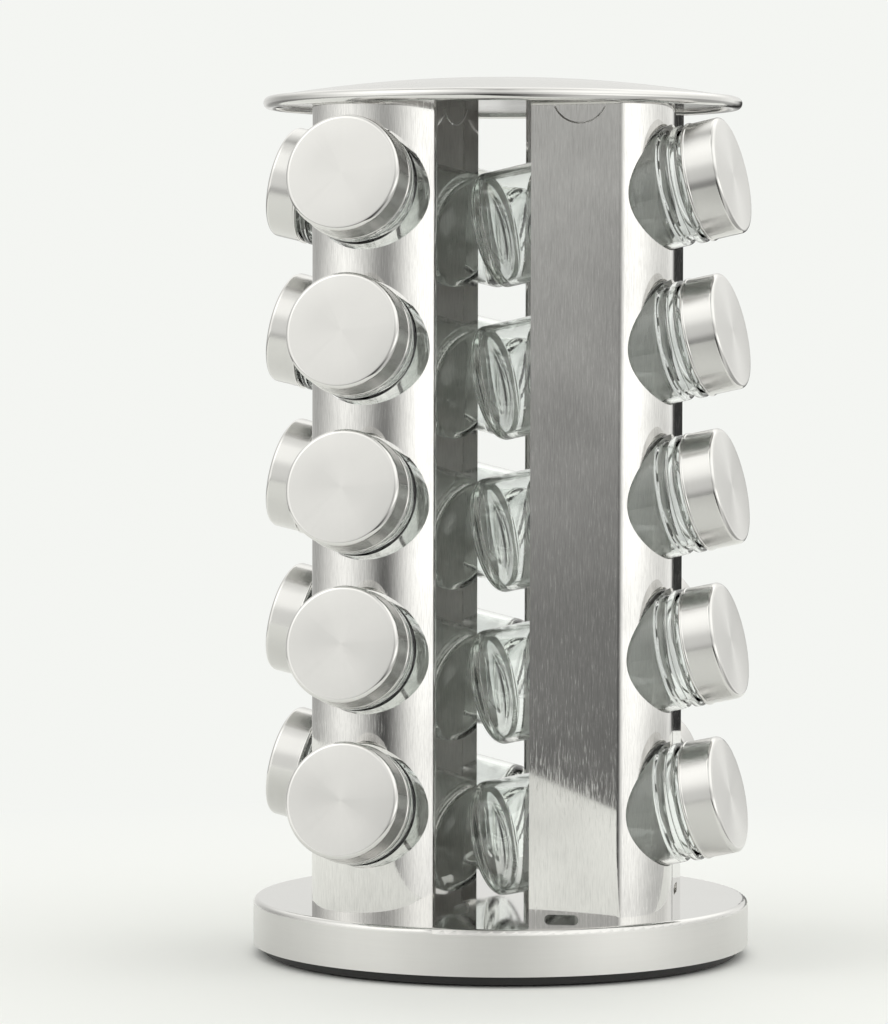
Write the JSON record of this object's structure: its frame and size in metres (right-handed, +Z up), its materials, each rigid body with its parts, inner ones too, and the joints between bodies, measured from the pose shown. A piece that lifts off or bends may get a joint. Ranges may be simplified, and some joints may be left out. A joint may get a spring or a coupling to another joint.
{
  "type": "rotating spice rack",
  "caption": "Round steel carousel on a ball-race base, with bent-sheet columns in a pinwheel holding tilted glass spice jars with steel screw lids under a domed cover.",
  "frame": {"origin": "on the table, under the middle of the rack", "axes": "+Z up along the turntable's axis, the front column faces -Y, the right column faces +X"},
  "size_m": [0.1956, 0.1956, 0.3174],
  "materials": {
    "steel_sheet": "brushed along the column",
    "lid_steel": "spun",
    "jar_glass": "clear, faint green",
    "black_plastic": "fine moulded grain",
    "pad_rubber": "matte",
    "bearing_steel": "ground",
    "cage_plastic": "moulded",
    "screw_steel": "zinc plated"
  },
  "bodies": {
    "foot": {"foot_plate": "black_plastic", "foot_pads": "pad_rubber", "lower_race": "bearing_steel", "pivot_pin": "bearing_steel", "pivot_clip": "bearing_steel"},
    "ball_ring": {"ball_cage": "cage_plastic", "bearing_balls": "bearing_steel"},
    "turntable": {"upper_race": "bearing_steel", "turntable_hub": "black_plastic", "base_pan": "steel_sheet", "lower_screws": "screw_steel", "inner_plate": "steel_sheet", "upper_screws": "screw_steel", "top_cover": "steel_sheet", "column_front": "steel_sheet", "column_right": "steel_sheet", "column_back": "steel_sheet", "column_left": "steel_sheet"},
    "jar_front_1": {"jar_front_1": "jar_glass"},
    "lid_front_1": {"lid_front_1": "lid_steel"},
    "jar_front_2": {"jar_front_2": "jar_glass"},
    "lid_front_2": {"lid_front_2": "lid_steel"},
    "jar_front_3": {"jar_front_3": "jar_glass"},
    "lid_front_3": {"lid_front_3": "lid_steel"},
    "jar_front_4": {"jar_front_4": "jar_glass"},
    "lid_front_4": {"lid_front_4": "lid_steel"},
    "jar_front_5": {"jar_front_5": "jar_glass"},
    "lid_front_5": {"lid_front_5": "lid_steel"},
    "jar_right_1": {"jar_right_1": "jar_glass"},
    "lid_right_1": {"lid_right_1": "lid_steel"},
    "jar_right_2": {"jar_right_2": "jar_glass"},
    "lid_right_2": {"lid_right_2": "lid_steel"},
    "jar_right_3": {"jar_right_3": "jar_glass"},
    "lid_right_3": {"lid_right_3": "lid_steel"},
    "jar_right_4": {"jar_right_4": "jar_glass"},
    "lid_right_4": {"lid_right_4": "lid_steel"},
    "jar_right_5": {"jar_right_5": "jar_glass"},
    "lid_right_5": {"lid_right_5": "lid_steel"},
    "jar_back_1": {"jar_back_1": "jar_glass"},
    "lid_back_1": {"lid_back_1": "lid_steel"},
    "jar_back_2": {"jar_back_2": "jar_glass"},
    "lid_back_2": {"lid_back_2": "lid_steel"},
    "jar_back_3": {"jar_back_3": "jar_glass"},
    "lid_back_3": {"lid_back_3": "lid_steel"},
    "jar_back_4": {"jar_back_4": "jar_glass"},
    "lid_back_4": {"lid_back_4": "lid_steel"},
    "jar_back_5": {"jar_back_5": "jar_glass"},
    "lid_back_5": {"lid_back_5": "lid_steel"},
    "jar_left_1": {"jar_left_1": "jar_glass"},
    "lid_left_1": {"lid_left_1": "lid_steel"},
    "jar_left_2": {"jar_left_2": "jar_glass"},
    "lid_left_2": {"lid_left_2": "lid_steel"},
    "jar_left_3": {"jar_left_3": "jar_glass"},
    "lid_left_3": {"lid_left_3": "lid_steel"},
    "jar_left_4": {"jar_left_4": "jar_glass"},
    "lid_left_4": {"lid_left_4": "lid_steel"},
    "jar_left_5": {"jar_left_5": "jar_glass"},
    "lid_left_5": {"lid_left_5": "lid_steel"}
  },
  "joints": [
    {"name": "turntable_spin", "type": "hinge", "parent": "foot", "child": "turntable", "pos_m": [0, 0, 0], "axis": [0, 0, 1], "continuous": true},
    {"name": "ball_ring_turn", "type": "hinge", "parent": "foot", "child": "ball_ring", "pos_m": [0, 0, 0], "axis": [0, 0, 1], "continuous": true},
    {"name": "jar_front_1_pull", "type": "slide", "parent": "turntable", "child": "jar_front_1", "axis": [0, -0.9763, 0.2164], "range_m": [0, 0.1]},
    {"name": "lid_front_1_lift", "type": "slide", "parent": "jar_front_1", "child": "lid_front_1", "axis": [0, -0.9763, 0.2164], "range_m": [0, 0.03]},
    {"name": "jar_front_2_pull", "type": "slide", "parent": "turntable", "child": "jar_front_2", "axis": [0, -0.9763, 0.2164], "range_m": [0, 0.1]},
    {"name": "lid_front_2_lift", "type": "slide", "parent": "jar_front_2", "child": "lid_front_2", "axis": [0, -0.9763, 0.2164], "range_m": [0, 0.03]},
    {"name": "jar_front_3_pull", "type": "slide", "parent": "turntable", "child": "jar_front_3", "axis": [0, -0.9763, 0.2164], "range_m": [0, 0.1]},
    {"name": "lid_front_3_lift", "type": "slide", "parent": "jar_front_3", "child": "lid_front_3", "axis": [0, -0.9763, 0.2164], "range_m": [0, 0.03]},
    {"name": "jar_front_4_pull", "type": "slide", "parent": "turntable", "child": "jar_front_4", "axis": [0, -0.9763, 0.2164], "range_m": [0, 0.1]},
    {"name": "lid_front_4_lift", "type": "slide", "parent": "jar_front_4", "child": "lid_front_4", "axis": [0, -0.9763, 0.2164], "range_m": [0, 0.03]},
    {"name": "jar_front_5_pull", "type": "slide", "parent": "turntable", "child": "jar_front_5", "axis": [0, -0.9763, 0.2164], "range_m": [0, 0.1]},
    {"name": "lid_front_5_lift", "type": "slide", "parent": "jar_front_5", "child": "lid_front_5", "axis": [0, -0.9763, 0.2164], "range_m": [0, 0.03]},
    {"name": "jar_right_1_pull", "type": "slide", "parent": "turntable", "child": "jar_right_1", "axis": [0.9763, 0, 0.2164], "range_m": [0, 0.1]},
    {"name": "lid_right_1_lift", "type": "slide", "parent": "jar_right_1", "child": "lid_right_1", "axis": [0.9763, 0, 0.2164], "range_m": [0, 0.03]},
    {"name": "jar_right_2_pull", "type": "slide", "parent": "turntable", "child": "jar_right_2", "axis": [0.9763, 0, 0.2164], "range_m": [0, 0.1]},
    {"name": "lid_right_2_lift", "type": "slide", "parent": "jar_right_2", "child": "lid_right_2", "axis": [0.9763, 0, 0.2164], "range_m": [0, 0.03]},
    {"name": "jar_right_3_pull", "type": "slide", "parent": "turntable", "child": "jar_right_3", "axis": [0.9763, 0, 0.2164], "range_m": [0, 0.1]},
    {"name": "lid_right_3_lift", "type": "slide", "parent": "jar_right_3", "child": "lid_right_3", "axis": [0.9763, 0, 0.2164], "range_m": [0, 0.03]},
    {"name": "jar_right_4_pull", "type": "slide", "parent": "turntable", "child": "jar_right_4", "axis": [0.9763, 0, 0.2164], "range_m": [0, 0.1]},
    {"name": "lid_right_4_lift", "type": "slide", "parent": "jar_right_4", "child": "lid_right_4", "axis": [0.9763, 0, 0.2164], "range_m": [0, 0.03]},
    {"name": "jar_right_5_pull", "type": "slide", "parent": "turntable", "child": "jar_right_5", "axis": [0.9763, 0, 0.2164], "range_m": [0, 0.1]},
    {"name": "lid_right_5_lift", "type": "slide", "parent": "jar_right_5", "child": "lid_right_5", "axis": [0.9763, 0, 0.2164], "range_m": [0, 0.03]},
    {"name": "jar_back_1_pull", "type": "slide", "parent": "turntable", "child": "jar_back_1", "axis": [0, 0.9763, 0.2164], "range_m": [0, 0.1]},
    {"name": "lid_back_1_lift", "type": "slide", "parent": "jar_back_1", "child": "lid_back_1", "axis": [0, 0.9763, 0.2164], "range_m": [0, 0.03]},
    {"name": "jar_back_2_pull", "type": "slide", "parent": "turntable", "child": "jar_back_2", "axis": [0, 0.9763, 0.2164], "range_m": [0, 0.1]},
    {"name": "lid_back_2_lift", "type": "slide", "parent": "jar_back_2", "child": "lid_back_2", "axis": [0, 0.9763, 0.2164], "range_m": [0, 0.03]},
    {"name": "jar_back_3_pull", "type": "slide", "parent": "turntable", "child": "jar_back_3", "axis": [0, 0.9763, 0.2164], "range_m": [0, 0.1]},
    {"name": "lid_back_3_lift", "type": "slide", "parent": "jar_back_3", "child": "lid_back_3", "axis": [0, 0.9763, 0.2164], "range_m": [0, 0.03]},
    {"name": "jar_back_4_pull", "type": "slide", "parent": "turntable", "child": "jar_back_4", "axis": [0, 0.9763, 0.2164], "range_m": [0, 0.1]},
    {"name": "lid_back_4_lift", "type": "slide", "parent": "jar_back_4", "child": "lid_back_4", "axis": [0, 0.9763, 0.2164], "range_m": [0, 0.03]},
    {"name": "jar_back_5_pull", "type": "slide", "parent": "turntable", "child": "jar_back_5", "axis": [0, 0.9763, 0.2164], "range_m": [0, 0.1]},
    {"name": "lid_back_5_lift", "type": "slide", "parent": "jar_back_5", "child": "lid_back_5", "axis": [0, 0.9763, 0.2164], "range_m": [0, 0.03]},
    {"name": "jar_left_1_pull", "type": "slide", "parent": "turntable", "child": "jar_left_1", "axis": [-0.9763, 0, 0.2164], "range_m": [0, 0.1]},
    {"name": "lid_left_1_lift", "type": "slide", "parent": "jar_left_1", "child": "lid_left_1", "axis": [-0.9763, 0, 0.2164], "range_m": [0, 0.03]},
    {"name": "jar_left_2_pull", "type": "slide", "parent": "turntable", "child": "jar_left_2", "axis": [-0.9763, 0, 0.2164], "range_m": [0, 0.1]},
    {"name": "lid_left_2_lift", "type": "slide", "parent": "jar_left_2", "child": "lid_left_2", "axis": [-0.9763, 0, 0.2164], "range_m": [0, 0.03]},
    {"name": "jar_left_3_pull", "type": "slide", "parent": "turntable", "child": "jar_left_3", "axis": [-0.9763, 0, 0.2164], "range_m": [0, 0.1]},
    {"name": "lid_left_3_lift", "type": "slide", "parent": "jar_left_3", "child": "lid_left_3", "axis": [-0.9763, 0, 0.2164], "range_m": [0, 0.03]},
    {"name": "jar_left_4_pull", "type": "slide", "parent": "turntable", "child": "jar_left_4", "axis": [-0.9763, 0, 0.2164], "range_m": [0, 0.1]},
    {"name": "lid_left_4_lift", "type": "slide", "parent": "jar_left_4", "child": "lid_left_4", "axis": [-0.9763, 0, 0.2164], "range_m": [0, 0.03]},
    {"name": "jar_left_5_pull", "type": "slide", "parent": "turntable", "child": "jar_left_5", "axis": [-0.9763, 0, 0.2164], "range_m": [0, 0.1]},
    {"name": "lid_left_5_lift", "type": "slide", "parent": "jar_left_5", "child": "lid_left_5", "axis": [-0.9763, 0, 0.2164], "range_m": [0, 0.03]}
  ],
  "couplings": [
    {"joint": "ball_ring_turn", "follows": "turntable_spin", "ratio": 0.5}
  ]
}
